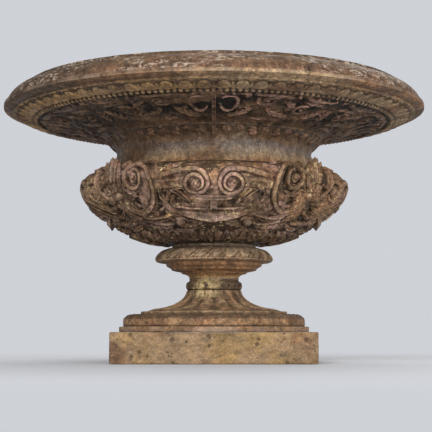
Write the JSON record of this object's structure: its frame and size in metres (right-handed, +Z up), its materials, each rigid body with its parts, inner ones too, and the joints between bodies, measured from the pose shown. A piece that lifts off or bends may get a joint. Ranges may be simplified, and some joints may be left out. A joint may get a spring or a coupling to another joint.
{
  "type": "garden vase",
  "caption": "Wide cast-iron garden vase: scrolled bowl, flared neck and turned-over rim on a moulded stem, spreading foot and square plinth, clamped by a central rod.",
  "frame": {"origin": "centre of the plinth's underside, on the ground", "axes": "+Z up through the clamp rod; -Y towards the front of the vase, square to a side of the plinth"},
  "size_m": [0.85, 0.85, 0.55],
  "materials": {
    "plinth_iron": "matt weathered iron, tan and ochre rust with dark pits",
    "foot_iron": "matt weathered iron, brown and ochre rust",
    "bowl_iron": "weathered iron, brown rust with worn mauve-grey high spots",
    "rim_iron": "weathered iron, brown rust with pale chipped patches",
    "fastener": "rusted"
  },
  "bodies": {
    "root": {"plinth": "plinth_iron", "foot": "foot_iron", "collar": "foot_iron", "bowl": "bowl_iron", "neck": "rim_iron", "rim": "rim_iron", "clamp_rod": "fastener", "lower_washer": "fastener", "lower_rod_nut": "fastener", "upper_washer": "fastener", "upper_rod_nut": "fastener", "flange_bolt_1": "fastener", "flange_bolt_2": "fastener", "flange_bolt_3": "fastener", "flange_bolt_4": "fastener", "flange_bolt_5": "fastener", "flange_bolt_6": "fastener", "flange_nut_1": "fastener", "flange_nut_2": "fastener", "flange_nut_3": "fastener", "flange_nut_4": "fastener", "flange_nut_5": "fastener", "flange_nut_6": "fastener", "plinth_bolt_1": "fastener", "plinth_bolt_2": "fastener", "plinth_bolt_3": "fastener", "plinth_bolt_4": "fastener", "plinth_nut_1": "fastener", "plinth_nut_2": "fastener", "plinth_nut_3": "fastener", "plinth_nut_4": "fastener"}
  },
  "joints": []
}
